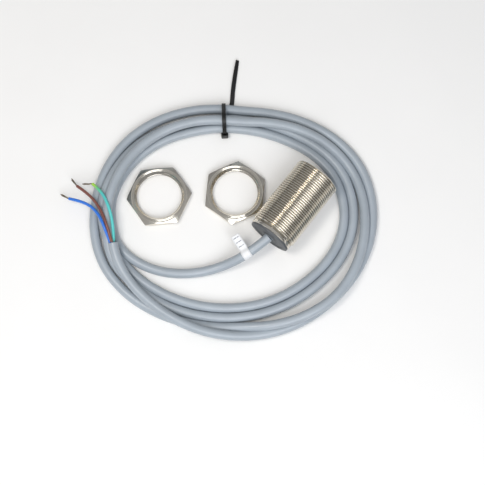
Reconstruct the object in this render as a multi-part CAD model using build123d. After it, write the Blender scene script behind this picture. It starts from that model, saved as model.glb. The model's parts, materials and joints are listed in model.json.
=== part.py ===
"""Inductive proximity sensor, M30 x 1.5 metal barrel, with its cable, label, cable tie and two loose nuts.

Frame: the origin is the centre of the sensing face, +X points out of that face along the barrel's axis and
+Z is up. The barrel lies on its side, and the coiled cable and the nuts lie on the same level surface.
"""
import os
from math import cos, pi, radians, sin, tan

from build123d import *

os.makedirs("parts", exist_ok=True)

# ---- driving dimensions, mm ----------------------------------------------------------------------
# Barrel
thread_size = 30.0  # M30, nominal major diameter
thread_pitch = 1.5
thread_allowance = 0.02  # the outside thread's crest is this much under nominal, on the radius
overall_length = 50.0  # sensing face to rear face
cap_stand_out = 1.2  # rear plug, past the metal
collar_length = 2.0  # plain metal lip behind the thread
collar_drop = 0.9  # lip's surface under the thread's nominal radius
collar_edge = 0.4  # chamfer on the lip
relief_length = 1.2  # groove between the thread and the lip
relief_extra = 0.15  # groove deeper than the thread
barrel_wall = 1.7  # nominal thread radius to the bore

# Clearances
fit_gap = 0.05  # between pieces pushed into each other
pin_room = 0.1  # round a pin in its hole
winding_gap = 0.15  # copper clear of the bobbin's open side
copper_gap = 0.05  # copper clear of the bobbin
potting_gap = 0.03
core_air = 0.1  # core clear of the face, and bobbin clear of the core's rim
tie_clearance = 0.3
label_gap = 0.15

# Sensing head
face_thickness = 1.0  # plastic in front of the core
cap_skirt = 0.8
core_d = 22.0
core_length = 6.5
core_rim = 2.0
core_post_d = 8.0
core_floor = 2.0
pin_slot = (2.0, 1.6)  # openings in the core's floor, along the radius and across
pin_inset = 2.2  # pin's axis, inside the core's rim
pin_size = 0.64
pin_foot = 3.0  # how far a pin lies on the board
winding_wall = 0.6  # bobbin flanges and tube
holder_floor = 1.6
board_socket = 0.8  # board's edge in the holder

# Board and its parts
board_width = 20.0
board_length = 25.0
board_thickness = 1.6
chip_size = (1.4, 3.9, 8.6)  # each package: up, across, along
chip_start = 5.5
chip_stand_off = 0.15
chip_feet = 7  # on each side
chip_foot_pitch = 1.27
chip_foot = (0.8, 1.1, 0.4)
switch_size = (2.3, 6.5, 6.1)
switch_tab = (0.5, 5.2, 1.2)
switch_leg = (0.5, 0.8, 1.8)
switch_leg_pitch = 2.28
switch_start = 15.5
switch_across = -5.6
bridge_size = (2.5, 6.2, 8.3)
bridge_leg = (0.4, 0.9, 1.1)
bridge_leg_across = 2.0
bridge_start = 15.0
bridge_across = 5.4
can_d = 6.3
can_height = 6.4
can_base = (0.6, 6.6, 6.6)
can_base_overlap = 0.4
can_middle = 17.5
disc_d = 7.0
disc_thickness = 2.6
disc_leg = (1.4, 0.6, 0.6)
disc_leg_pitch = 2.5
disc_lift = 4.0  # disc's middle from the board
disc_across = -7.0
disc_middle = 8.5
chip_part = (0.6, 2.0, 1.25)
upper_chips = [(-6.5, 5.0), (-6.5, 8.0), (-6.5, 11.0), (6.5, 4.5), (6.5, 7.0), (6.5, 9.5)]  # across, along
lower_chips = [(6.0, 6.0), (6.0, 9.0), (6.0, 12.0)]

# Rear plug, grommet, clamp and lug
plug_length = 7.0  # plastic plug inside the barrel
plug_rim_inset = 0.4  # plug's rim inside the metal lip's surface
plug_rim_edge = 0.5
grommet_d = 11.0
grommet_length = 3.2
clamp_length = 2.5
clamp_wall = 2.05
clamp_inset = 0.6
clamp_space = 0.4  # between the clamp and the grommet
stub_reach = 2.0  # cable's end, past the plug
lug_thickness = 0.6
lug_width = 3.0
lug_length = 5.0
lug_radius = 8.0  # middle of its tab
lug_end_gap = 0.15  # blade's end to the bore
lug_blade_back = 1.6  # blade, ahead of the plug
lug_tab_back = 6.0

# Cable
cable_d = 6.0
conductor_d = 1.9
thin_wire_d = 1.52  # the same conductors inside the barrel
strand_d = 1.1  # bare copper bunch of one conductor
bare_length = 7.5
inner_bend = 1.4
pad_inset = 1.2  # a wire's end from the board's back edge
pad_run = 2.2  # straight wire over its pad

# Label and cable tie
label_width = 5.6
label_flag = 10.7
label_paper = 0.25
label_from_exit = 17.0  # along the cable, to the band's middle
tie_width = 2.5
tie_thickness = 1.0
tie_head = 4.4
tie_slack = 0.4
tail_length = 52.0

# Nuts
nut_wall = 3.0  # nominal thread radius to the flats
nut_thickness = 5.0
nut_edge = 0.3  # flat ring's edge, inside the flats
nut_corner_angle = 30.0  # chamfer on the nut's corners, degrees from its face
nut_lead_in = 0.9  # countersink at each end of the nut's thread
nut_side_gap = 0.24  # right nut's corner beside the barrel, seen from above
nut_space = 6.45  # between the two nuts' corner circles
nut_bearing = 130.5  # from the right nut's middle to the left one's, degrees from +X
right_nut_x = -38.0
right_nut_turn = -27.8
left_nut_turn = -46.8

# ---- worked out from them ------------------------------------------------------------------------
barrel_r = thread_size / 2 - thread_allowance
floor_z = -barrel_r
thread_depth = 0.6134 * thread_pitch  # metric outside thread, crest to root
nut_bore_r = thread_size / 2 - 0.5413 * thread_pitch  # metric inside thread, minor radius
metal_length = overall_length - cap_stand_out
thread_length = metal_length - collar_length - relief_length
bore_r = thread_size / 2 - barrel_wall
inner_r = bore_r - fit_gap
collar_r = thread_size / 2 - collar_drop
relief_r = barrel_r - thread_depth - relief_extra
lay_z = floor_z + cable_d / 2  # axis of a cable that lies on the surface

holder_front = face_thickness + fit_gap
core_front = holder_front + core_air
core_back = core_front + core_length
holder_back = core_back + fit_gap + holder_floor
holder_r = inner_r - cap_skirt - fit_gap
pin_offset = core_d / 2 - core_rim - pin_inset
bobbin_inner = core_post_d / 2 + fit_gap
bobbin_outer = core_d / 2 - core_rim - fit_gap
bobbin_front = core_front + core_air
bobbin_back = core_back - core_floor - fit_gap

board_front = holder_back - board_socket
board_back = board_front + board_length
board_face = board_thickness / 2
pin_seat = board_face + pin_size / 2

plug_front = metal_length - plug_length
plug_rim_r = collar_r - plug_rim_inset
cable_r = cable_d / 2
gland_r = cable_r + fit_gap
grommet_r = grommet_d / 2
clamp_front = plug_front + clamp_inset
grommet_front = clamp_front + clamp_length + clamp_space
stub_front = plug_front - stub_reach
wire_start = stub_front - fit_gap
pad_end = board_back - pad_inset

nut_across_flats = thread_size + 2 * nut_wall
nut_corner_r = nut_across_flats / 2 / cos(radians(30))
nut_bearing_run = 2 * nut_corner_r + nut_space
right_nut_at = (right_nut_x, barrel_r + nut_corner_r + nut_side_gap)
left_nut_at = (
    right_nut_at[0] + nut_bearing_run * cos(radians(nut_bearing)),
    right_nut_at[1] + nut_bearing_run * sin(radians(nut_bearing)),
)


def lay_down(shape):
    """Turn a shape made along +Z, measured back from the sensing face, onto the barrel's axis."""
    return Rot(0, -90, 0) * shape


def rod(radius, start, end):
    """Round bar on the axis between two distances from the sensing face."""
    return Pos(0, 0, (start + end) / 2) * Cylinder(radius, end - start)


def tube(outer, inner, start, end):
    """Round tube on the axis between two distances from the sensing face."""
    return rod(outer, start, end) - rod(inner, start, end)


def block(size_up, size_across, length, up, across, start):
    """Box in the barrel's frame: length runs back from start, and up and across place its middle."""
    return Pos(up, across, start + length / 2) * Box(size_up, size_across, length)


def save(shape, node):
    shape.label = node
    export_step(shape, f"parts/{node}.step")


# ---- metal barrel --------------------------------------------------------------------------------
def make_housing():
    """Brass barrel. Its thread is drawn as the major cylinder, with the lead-in and the relief groove."""
    with BuildSketch(Plane.XZ) as profile:
        with BuildLine():
            Polyline(
                (bore_r, 0),
                (barrel_r - thread_depth, 0),
                (barrel_r, thread_depth),
                (barrel_r, thread_length - thread_depth),
                (relief_r, thread_length),
                (relief_r, thread_length + relief_length),
                (collar_r, thread_length + relief_length),
                (collar_r, metal_length - collar_edge),
                (collar_r - collar_edge, metal_length),
                (bore_r, metal_length),
                close=True,
            )
        make_face()
    return revolve(profile.sketch, axis=Axis.Z)


# ---- sensing head: cap, ferrite core, bobbin, winding and the holder that carries the board -------
def make_cap():
    """Plastic cup that closes the barrel's front and covers the core."""
    skirt = tube(inner_r, inner_r - cap_skirt, 0, holder_back)
    return skirt + rod(inner_r, 0, face_thickness)


def pin_holes(size_up, size_across, start, end):
    """Two holes or slots for the bobbin's pins."""
    return [block(size_up, size_across, end - start, side * pin_offset, 0, start) for side in (-1, 1)]


def make_core():
    """Pot core: a cup with a centre post, open towards the sensing face."""
    core_r = core_d / 2
    groove = tube(core_r - core_rim, core_post_d / 2, core_front, core_back - core_floor)
    slots = pin_holes(*pin_slot, bobbin_back, core_back + fit_gap)
    return rod(core_r, core_front, core_back) - groove - slots


def make_bobbin():
    body = tube(bobbin_outer, bobbin_inner, bobbin_front, bobbin_back)
    return body - tube(bobbin_outer, bobbin_inner + winding_wall, bobbin_front + winding_wall,
                       bobbin_back - winding_wall)


def make_winding():
    return tube(
        bobbin_outer - winding_gap,
        bobbin_inner + winding_wall + copper_gap,
        bobbin_front + winding_wall + copper_gap,
        bobbin_back - winding_wall - copper_gap,
    )


def make_pins():
    """Two square pins: straight back from the bobbin, and cranked onto the two sides of the board."""
    crank_start = holder_back + pin_size / 2
    low, high = pin_seat - pin_size / 2, pin_offset + pin_size / 2
    start = bobbin_back + fit_gap
    foot_length = board_front + pin_foot - crank_start
    pins = []
    for side in (-1, 1):
        straight = block(pin_size, pin_size, crank_start - start, side * pin_offset, 0, start)
        crank = block(high - low, pin_size, pin_size, side * (low + high) / 2, 0, crank_start)
        foot = block(pin_size, pin_size, foot_length, side * pin_seat, 0, crank_start)
        pins.append(straight + crank + foot)
    return pins[0] + pins[1]


def make_holder():
    """Plastic cup that centres the core in the cap and takes the board's front edge in a slot."""
    cup = tube(holder_r, core_d / 2 + fit_gap, holder_front, core_back + fit_gap)
    cup = cup + rod(holder_r, core_back + fit_gap, holder_back)
    slot = block(board_thickness + 2 * fit_gap, board_width + 2 * fit_gap, board_socket + fit_gap, 0, 0,
                 board_front)
    hole = pin_size + 2 * pin_room
    return cup - slot - pin_holes(hole, hole, core_back, holder_back + fit_gap)


# ---- board and what is soldered to it ------------------------------------------------------------
def on_board(size, across, start, side=1, lift=0.0):
    """Package of a size (up, across, along) that stands on one side of the board."""
    up = side * (board_face + lift + size[0] / 2)
    return block(*size, up, across, board_front + start)


def make_board():
    return block(board_thickness, board_width, board_length, 0, 0, board_front)


def make_chip():
    """Oscillator and trigger circuit in a 14-lead package."""
    body = on_board(chip_size, 0, chip_start, 1, chip_stand_off)
    row = chip_foot_pitch * (chip_feet - 1) + chip_foot[2]
    first = chip_start + (chip_size[2] - row) / 2
    reach = (chip_size[1] + chip_foot[1]) / 2
    return body + [on_board(chip_foot, side * reach, first + chip_foot_pitch * n)
                   for n in range(chip_feet) for side in (-1, 1)]


def make_switch():
    """Output thyristor in a flat package with its tab."""
    body = on_board(switch_size, switch_across, switch_start)
    tab = on_board(switch_tab, switch_across, switch_start - switch_tab[2])
    legs = [on_board(switch_leg, switch_across + side * switch_leg_pitch, switch_start + switch_size[2])
            for side in (-1, 1)]
    return body + tab + legs


def make_bridge():
    """Bridge rectifier for the alternating or direct supply."""
    body = on_board(bridge_size, bridge_across, bridge_start)
    ends = (bridge_start - bridge_leg[2], bridge_start + bridge_size[2])
    return body + [on_board(bridge_leg, bridge_across + side * bridge_leg_across, end)
                   for side in (-1, 1) for end in ends]


def make_capacitor():
    """Upright can of the smoothing capacitor, under the board, on its square base."""
    can_top = board_face + can_base[0] - can_base_overlap
    can = Pos(-can_top - can_height / 2, 0, board_front + can_middle) * (
        Rot(0, 90, 0) * Cylinder(can_d / 2, can_height))
    return can + on_board(can_base, 0, can_middle - can_base[2] / 2, -1)


def make_varistor():
    """Surge absorber disc, on edge under the board."""
    disc = Pos(-board_face - disc_lift, disc_across, board_front + disc_middle) * (
        Rot(90, 0, 0) * Cylinder(disc_d / 2, disc_thickness))
    first = disc_middle - disc_leg[2] / 2
    return disc + [on_board(disc_leg, disc_across, first + side * disc_leg_pitch, -1) for side in (-1, 1)]


def make_chip_parts():
    """Chip resistors and capacitors on both sides of the board."""
    chips = [on_board(chip_part, across, start) for across, start in upper_chips]
    chips += [on_board(chip_part, across, start, -1) for across, start in lower_chips]
    return chips[0] + chips[1:]


# ---- rear plug, grommet and clamp ----------------------------------------------------------------
def make_plug():
    """Rear plug: a body pushed into the barrel and a rim that closes its end, bored for the cable."""
    body = rod(inner_r, plug_front, metal_length)
    rim = rod(plug_rim_r, metal_length, overall_length)
    rim = chamfer(rim.edges().sort_by(Axis.Z)[-1], plug_rim_edge)
    solid = body + rim - rod(grommet_r + fit_gap, plug_front, grommet_front + grommet_length)
    return solid - rod(gland_r, plug_front, overall_length)


def make_grommet():
    """Rubber sleeve that seals the cable in the plug."""
    return tube(grommet_r, gland_r, grommet_front, grommet_front + grommet_length - fit_gap)


def make_clamp():
    """Crimped metal ring that holds the cable against a pull."""
    return tube(gland_r + clamp_wall, gland_r, clamp_front, clamp_front + clamp_length)


def make_stub():
    """The cable's end inside the rear plug."""
    return rod(cable_r, stub_front, overall_length)


# ---- conductors inside the barrel ----------------------------------------------------------------
def inner_wire(points):
    """Insulated wire on a rounded path given as (up, across, back) points."""
    path = FilletPolyline(*points, radius=inner_bend)
    with BuildSketch(Plane(origin=path @ 0, z_dir=path % 0)) as section:
        Circle(thin_wire_d / 2)
    return sweep(section.sketch, path=path)


def board_wire(side, across, pad_across):
    """Wire from the cable's end to a pad on one side of the board."""
    pad_up = side * (board_face + thin_wire_d / 2 + fit_gap)
    out_up = pad_up + side * 0.3
    return inner_wire([(out_up, across, wire_start), (out_up, across, wire_start - 1.9),
                       (pad_up, pad_across, pad_end + pad_run), (pad_up, pad_across, pad_end)])


def make_lug():
    """Sprung metal tab that earths the barrel: it bears on the bore beside the board."""
    reach = inner_r - lug_end_gap
    tab = block(lug_thickness, lug_width, lug_length, lug_radius, 0, plug_front - lug_tab_back)
    blade = block(reach - lug_radius, lug_width, lug_thickness, (reach + lug_radius) / 2, 0,
                  plug_front - lug_blade_back)
    return (tab + blade) & rod(inner_r, plug_front - lug_tab_back, plug_front)


def make_earth_wire():
    """Wire from the cable's end to the lug."""
    up = lug_radius - lug_thickness / 2 - thin_wire_d / 2 - fit_gap
    return inner_wire([(2.2, -1.7, wire_start), (2.2, -1.7, wire_start - 1.6), (up, -0.6, wire_start - 4.4),
                       (up, 0.0, wire_start - 6.4)])


# ---- epoxy that fills the barrel between the holder and the plug ----------------------------------
def make_potting(inside):
    """Fill the barrel, less a box round every piece that stands in it."""
    fill = rod(inner_r, holder_back + fit_gap, plug_front - fit_gap)
    for piece in inside:
        box = piece.bounding_box()
        room = box.size + Vector(2, 2, 2) * potting_gap
        fill = fill - Pos(*box.center()) * Box(room.X, room.Y, room.Z)
    return fill


# ---- hexagon nuts --------------------------------------------------------------------------------
def make_nut(at, turn):
    """Thin hexagon nut, flat on the surface. Its thread is drawn as the minor cylinder."""
    face_r = nut_across_flats / 2 - nut_edge
    cone_drop = (nut_corner_r - face_r) * tan(radians(nut_corner_angle))
    mouth_r = nut_bore_r + nut_lead_in
    with BuildSketch(Plane.XZ) as profile:
        with BuildLine():
            Polyline(
                (mouth_r, 0),
                (face_r, 0),
                (nut_corner_r, cone_drop),
                (nut_corner_r, nut_thickness - cone_drop),
                (face_r, nut_thickness),
                (mouth_r, nut_thickness),
                (nut_bore_r, nut_thickness - nut_lead_in),
                (nut_bore_r, nut_lead_in),
                close=True,
            )
        make_face()
    hexagon = extrude(RegularPolygon(nut_corner_r, 6), nut_thickness)
    nut = hexagon & revolve(profile.sketch, axis=Axis.Z)
    return Pos(at[0], at[1], floor_z) * (Rot(0, 0, turn) * nut)


# ---- cable ---------------------------------------------------------------------------------------
def corner_radii(points):
    """Largest radius for each corner of a route, from its two runs and the turn between them."""
    radii = []
    for before, here, after in zip(points, points[1:], points[2:]):
        run_in = Vector(*here) - Vector(*before)
        run_out = Vector(*after) - Vector(*here)
        turn = radians(run_in.get_angle(run_out))
        radii.append(0.45 * min(run_in.length, run_out.length) / tan(turn / 2))
    return radii


def cord_path(points):
    """Straight runs joined by tangent arcs."""
    return FilletPolyline(*points, radius=corner_radii(points))


def cord_tube(name, points, diameter):
    """Tube along a cord's route. Prints its radii, length and volume."""
    path = cord_path(points)
    with BuildSketch(Plane(origin=path @ 0, z_dir=path % 0)) as section:
        Circle(diameter / 2)
    solid = sweep(section.sketch, path=path)
    expected = pi * diameter**2 / 4 * path.length
    print(name, "radii", [round(r, 1) for r in corner_radii(points)], "length", round(path.length, 1),
          "volume", round(solid.volume, 1), "section x length", round(expected, 1))
    return solid


lead_route = [
    (-overall_length, 0, 0),
    (-66, 3.8, -3.0),
    (-84, 14.8, lay_z),
    (-98, 27.6, lay_z),
    (-107.5, 42.5, lay_z),
    (-111.5, 58.5, lay_z),
    (-110.5, 72, lay_z),
]


def make_lead():
    """The cable from the rear face to the coil, cut flat where it leaves the rear plug."""
    inside = Pos(-overall_length + cable_d, 0, 0) * Box(2 * cable_d, 2 * cable_d, 2 * cable_d)
    return cord_tube("lead", lead_route, cable_d) - inside


# The coil: its middle, and at each sixteenth of a turn its inner and outer radius.
coil_centre = (-53.0, 30.0)
coil_edges = [
    (59.0, 81.3),
    (54.4, 74.9),
    (54.6, 74.0),
    (59.0, 79.3),
    (65.0, 84.2),
    (68.8, 86.4),
    (69.4, 87.5),
    (65.0, 85.0),
    (59.2, 79.0),
    (55.5, 77.2),
    (54.8, 79.3),
    (56.8, 82.5),
    (60.3, 86.0),
    (67.0, 91.0),
    (71.0, 95.0),
    (65.6, 90.2),
]
coil_height = 2 * cable_d - 0.4
coil_bevel = 0.3 * cable_d
cut_end = (-111.8, 74.8)  # where the cable's jacket ends, on top of the coil
cut_direction = 65.0  # degrees, the way the cable points there
wire_pocket = (80.0, 30.0, 20.0)  # room over the coil for the three conductors
wire_floor = 7.0  # top of the coil under them


def coil_outline(radii):
    """Closed smooth curve through a radius at each station round the coil's middle."""
    step = 2 * pi / len(radii)
    points = [(coil_centre[0] + r * cos(n * step), coil_centre[1] + r * sin(n * step))
              for n, r in enumerate(radii)]
    return Spline(*points, periodic=True)


def make_coil():
    """Closed solid of the coil's outer shape, with room for the tie and for the three conductors."""
    inner_radii, outer_radii = zip(*coil_edges)
    with BuildSketch() as ring:
        with BuildLine():
            coil_outline(outer_radii)
        make_face()
        with BuildLine():
            coil_outline(inner_radii)
        make_face(mode=Mode.SUBTRACT)
    coil = Pos(0, 0, floor_z) * extrude(ring.sketch, coil_height)
    rims = coil.edges().filter_by(lambda edge: edge.length > pi * min(inner_radii))
    coil = chamfer(rims, coil_bevel)
    pocket = Pos(wire_pocket[0] / 2, 0, wire_floor + wire_pocket[2] / 2) * Box(*wire_pocket)
    pocket = Pos(cut_end[0], cut_end[1], floor_z) * (Rot(0, 0, cut_direction) * pocket)
    return coil - pocket - tie_room()


# Conductors beyond the jacket: two lie side by side and the brown one lies on them.
wire_z = floor_z + wire_floor + conductor_d / 2 + tie_clearance
brown_z = wire_z + 1.6
conductor_routes = {
    "yellow_green": [
        (-110.5, 74.9, wire_z),
        (-101.9, 81.9, wire_z),
        (-94.2, 92.3, wire_z),
        (-90.0, 102.3, wire_z),
        (-89.6, 109.3, wire_z),
    ],
    "brown": [
        (-111.5, 75.4, brown_z),
        (-105.4, 83.8, brown_z),
        (-99.3, 94.6, wire_z + 0.6),
        (-96.2, 106.5, wire_z),
        (-96.4, 116.6, wire_z - 1.5),
    ],
    "blue": [
        (-112.5, 75.8, wire_z),
        (-107.6, 83.8, wire_z),
        (-102.2, 94.2, wire_z),
        (-101.4, 105.6, wire_z),
        (-105.6, 115.9, wire_z - 2.0),
    ],
}


def make_bare_end(route):
    """Stripped copper strands that carry on from a conductor's end."""
    last, before = Vector(*route[-1]), Vector(*route[-2])
    ahead = (last - before).normalized()
    return Plane(origin=last + ahead * (bare_length / 2), z_dir=ahead) * Cylinder(strand_d / 2, bare_length)


# ---- label ---------------------------------------------------------------------------------------
def make_label():
    """Paper band stuck round the cable, with its two ends joined as a flag to one side."""
    path = cord_path(lead_route)
    middle = path.position_at(label_from_exit, PositionMode.LENGTH)
    along = path.tangent_at(label_from_exit, PositionMode.LENGTH)
    band_r = cable_r + label_gap
    band = Cylinder(band_r + label_paper, label_width) - Cylinder(band_r, label_width)
    flag = Pos(band_r + label_flag / 2, 0, 0) * Box(label_flag, 2 * label_paper, label_width)
    flag = flag - Cylinder(band_r + label_paper / 2, 2 * label_width)
    side = Vector(0, 1, 0.25)
    across = (side - along * side.dot(along)).normalized()
    return Plane(origin=middle, x_dir=across, z_dir=along) * (band + flag)


# ---- cable tie -----------------------------------------------------------------------------------
tie_turn = 39.0  # round the coil's middle, degrees from +X
tie_inner = 53.2  # strap's inner and outer face, from the coil's middle
tie_outer = 75.4
tail_turn = 28.5
tie_height = coil_height + 2 * tie_thickness + tie_slack
head_middle = tie_inner + tie_slack - tie_head / 2


def from_coil(shape, turn):
    """Place a shape made along +X from the coil's middle, on the surface."""
    return Pos(coil_centre[0], coil_centre[1], floor_z) * (Rot(0, 0, turn) * shape)


def tie_loop(grow):
    """The strap's loop round the coil, made thicker by grow on every side."""
    middle = (tie_inner + tie_outer) / 2
    length = tie_outer - tie_inner + 2 * grow
    wall = tie_thickness + 2 * grow
    strap = Box(length, tie_width + 2 * grow, tie_height + 2 * grow)
    hole = Box(length - 2 * wall, 2 * tie_width, tie_height + 2 * grow - 2 * wall)
    return from_coil(Pos(middle, 0, tie_height / 2) * (strap - hole), tie_turn)


def tie_tail(grow):
    """The strap's free end: it runs out from the head, under the coil and along the surface."""
    tail = Box(tail_length + 2 * grow, tie_width + 2 * grow, tie_thickness + 2 * grow)
    tail = Rot(0, 0, tail_turn - tie_turn) * (Pos(tail_length / 2, 0, tie_thickness / 2) * tail)
    return from_coil(Pos(head_middle, 0, 0) * tail, tie_turn)


def tie_room():
    """Space that the tie takes up in the coil."""
    return tie_loop(tie_clearance) + tie_tail(tie_clearance)


def make_tie():
    """Nylon cable tie in one piece: its loop, its head and the tail."""
    head = from_coil(Pos(head_middle, 0, tie_head / 2) * Box(tie_head, tie_head, tie_head), tie_turn)
    return tie_loop(0) + head + tie_tail(0)


# ---- build ---------------------------------------------------------------------------------------
def build():
    potted = {
        "bobbin_pins": make_pins(),
        "circuit_board": make_board(),
        "oscillator_chip": make_chip(),
        "output_thyristor": make_switch(),
        "bridge_rectifier": make_bridge(),
        "smoothing_capacitor": make_capacitor(),
        "surge_varistor": make_varistor(),
        "chip_resistors": make_chip_parts(),
        "cable_inner_end": make_stub(),
        "earth_lug": make_lug(),
        "inner_wire_earth": make_earth_wire(),
        "inner_wire_brown": board_wire(1, 0.3, -1.2),
        "inner_wire_blue": board_wire(-1, 0.3, 4.6),
    }
    sensor = {
        "threaded_housing": make_housing(),
        "sensing_face_cap": make_cap(),
        "ferrite_pot_core": make_core(),
        "coil_bobbin": make_bobbin(),
        "sensing_winding": make_winding(),
        "core_holder": make_holder(),
        "rear_plug": make_plug(),
        "cable_grommet": make_grommet(),
        "cable_clamp_ring": make_clamp(),
        "potting_resin": make_potting([solid for piece in potted.values() for solid in piece.solids()]),
        **potted,
    }
    for node, shape in sensor.items():
        save(lay_down(shape), node)

    save(make_nut(left_nut_at, left_nut_turn), "hex_nut_left")
    save(make_nut(right_nut_at, right_nut_turn), "hex_nut_right")
    print("nuts at", left_nut_at, right_nut_at, "thread wall", thread_length - 2 * thread_depth)
    save(make_lead(), "cable_lead")
    save(make_coil(), "cable_coil")
    for colour, route in conductor_routes.items():
        save(cord_tube(colour, route, conductor_d), f"conductor_{colour}")
        save(make_bare_end(route), f"bare_end_{colour}")
    save(make_label(), "cable_label")
    save(make_tie(), "cable_tie")


build()
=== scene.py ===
"""Inductive proximity sensor with its coiled cable, label, cable tie and two loose nuts: looks and stage."""
import json
from math import cos, degrees, pi, radians, sin, tan

import bmesh
import bpy
from bpy.props import FloatProperty, IntProperty, PointerProperty, StringProperty
from bpy.types import Operator, Panel, PropertyGroup
from mathutils import Matrix, Vector


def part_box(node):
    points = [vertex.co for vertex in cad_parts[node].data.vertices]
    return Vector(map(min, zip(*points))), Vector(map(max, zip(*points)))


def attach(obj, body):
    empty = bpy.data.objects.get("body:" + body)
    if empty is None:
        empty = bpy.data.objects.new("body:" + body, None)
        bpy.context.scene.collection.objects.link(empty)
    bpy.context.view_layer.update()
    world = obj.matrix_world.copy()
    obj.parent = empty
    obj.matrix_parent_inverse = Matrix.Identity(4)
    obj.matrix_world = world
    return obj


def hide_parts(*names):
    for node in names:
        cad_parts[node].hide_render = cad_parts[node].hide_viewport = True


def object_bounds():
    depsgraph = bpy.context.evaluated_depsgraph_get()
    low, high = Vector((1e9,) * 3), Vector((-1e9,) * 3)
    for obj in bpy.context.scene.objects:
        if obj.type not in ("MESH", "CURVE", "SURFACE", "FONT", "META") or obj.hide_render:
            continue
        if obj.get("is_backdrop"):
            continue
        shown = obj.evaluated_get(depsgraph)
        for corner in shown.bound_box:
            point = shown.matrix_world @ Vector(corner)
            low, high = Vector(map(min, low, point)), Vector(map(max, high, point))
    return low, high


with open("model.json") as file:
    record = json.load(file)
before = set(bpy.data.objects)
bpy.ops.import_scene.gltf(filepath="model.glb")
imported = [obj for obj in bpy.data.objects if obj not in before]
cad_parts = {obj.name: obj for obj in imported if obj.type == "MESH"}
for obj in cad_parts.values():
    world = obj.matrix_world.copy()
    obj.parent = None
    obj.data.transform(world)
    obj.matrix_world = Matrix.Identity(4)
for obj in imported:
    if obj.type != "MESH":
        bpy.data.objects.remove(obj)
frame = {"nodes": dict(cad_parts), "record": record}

bl_info = {
    "name": "Inductive proximity sensor",
    "version": (1, 0, 0),
    "blender": (4, 5, 0),
    "location": "3D View > Sidebar > Sensor",
    "description": "Builds the finished look of a threaded sensor, its coiled cable and its nuts",
    "category": "Object",
}

MM = 0.001
CAD_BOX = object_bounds()
SENSOR = "sensor"  # the body that everything but the nuts rides on

housing_low, housing_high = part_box("threaded_housing")
BARREL_R = housing_high.z
FLOOR_Z = housing_low.z
METAL_LENGTH = housing_high.x - housing_low.x

# The cable lies on the surface at this height, and leaves the rear plug on the barrel's axis.
CABLE_D = 6.0 * MM
LAY_Z = FLOOR_Z + CABLE_D / 2
LEAD_ROUTE = [
    (-0.050, 0.0, 0.0), (-0.066, 0.0038, -0.0030), (-0.084, 0.0148, LAY_Z), (-0.098, 0.0276, LAY_Z),
    (-0.1075, 0.0425, LAY_Z), (-0.1115, 0.0585, LAY_Z), (-0.1105, 0.0720, LAY_Z),
]

# The coil's turns, from the inside: the centreline's distance from the coil's middle and its height above
# the surface, in mm, every 30 degrees from 120 degrees round clockwise.
COIL_MIDDLE = Vector((-0.053, 0.030, 0.0))
FIRST_ANGLE = 120.0
STATIONS = 12
INNER_TURN = [(74.6, 3), (68.4, 3), (59.9, 3), (57.8, 3), (62.0, 3), (71.8, 3),
              (72.6, 3), (64.6, 3), (59.4, 3), (58.4, 3), (63.0, 3), (72.6, 3)]
SECOND_TURN = [(79.6, 6.4), (74.8, 3), (66.2, 3), (63.7, 3), (68.0, 3), (77.8, 3),
               (78.6, 3), (70.8, 3), (65.5, 3), (64.5, 3), (69.2, 3), (77.6, 6.2)]
THIRD_TURN = [(75.0, 10.2), (71.1, 8.5), (64.8, 9.0), (60.7, 8.4), (71.0, 8.3), (83.6, 3.4),
              (86.0, 7.1), (84.6, 9.0), (75.0, 7.3), (70.5, 3), (75.6, 3), (83.6, 3)]
OUTER_TURN = [(84.0, 3), (81.3, 3), (74.2, 3), (69.7, 3), (78.4, 3), (89.7, 3),
              (90.6, 3), (84.2, 3), (78.8, 3), (74.9, 7.6), (73.0, 8.6), (74.4, 10.6)]
# Where turns cross, the point halfway between two stations is given too: its number, distance and height.
CROSSINGS = {23: (78.3, 5.2), 25: (77.2, 5.4), 45: (72.8, 3.6), 47: (75.8, 10.0), 49: (73.2, 9.7),
             57: (77.9, 6.4), 65: (70.4, 3.6), 89: (76.4, 4.2), 91: (73.7, 9.1), 93: (73.9, 9.7)}
TIE_POINT = 5  # number in each turn of the point by the tie, which lifts the turns off the surface
TIE_LIFT = 1.1  # mm
LEAD_END = (135.0, 73.0, 3.0)  # where the lead meets the coil: angle, distance and height
CUT_END = (142.7, 73.4, 12.0)  # the jacket's end: angle, distance and height

CONDUCTOR_D = 1.9 * MM
CONDUCTOR_ROUTES = {
    "yellow_green": [
        (-0.1105, 0.0749, -0.0038), (-0.1019, 0.0819, -0.0016), (-0.0942, 0.0923, 0.0004),
        (-0.0900, 0.1023, -0.0034), (-0.0896, 0.1093, -0.0056),
    ],
    "brown": [
        (-0.1115, 0.0754, -0.0018), (-0.1054, 0.0838, 0.0006), (-0.0993, 0.0946, -0.0018),
        (-0.0962, 0.1065, -0.0040), (-0.0964, 0.1166, -0.0074),
    ],
    "blue": [
        (-0.1125, 0.0758, -0.0036), (-0.1076, 0.0838, 0.0004), (-0.1022, 0.0942, -0.0022),
        (-0.1014, 0.1056, -0.0056), (-0.1056, 0.1159, -0.0092),
    ],
}
CONDUCTOR_SLOTS = {
    "yellow_green": "insulation_green_yellow",
    "brown": "insulation_brown",
    "blue": "insulation_blue",
}
BARE_TURNS = {"yellow_green": 36.0, "brown": -14.0, "blue": -12.0}  # degrees, a bent end's turn to the left

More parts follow.
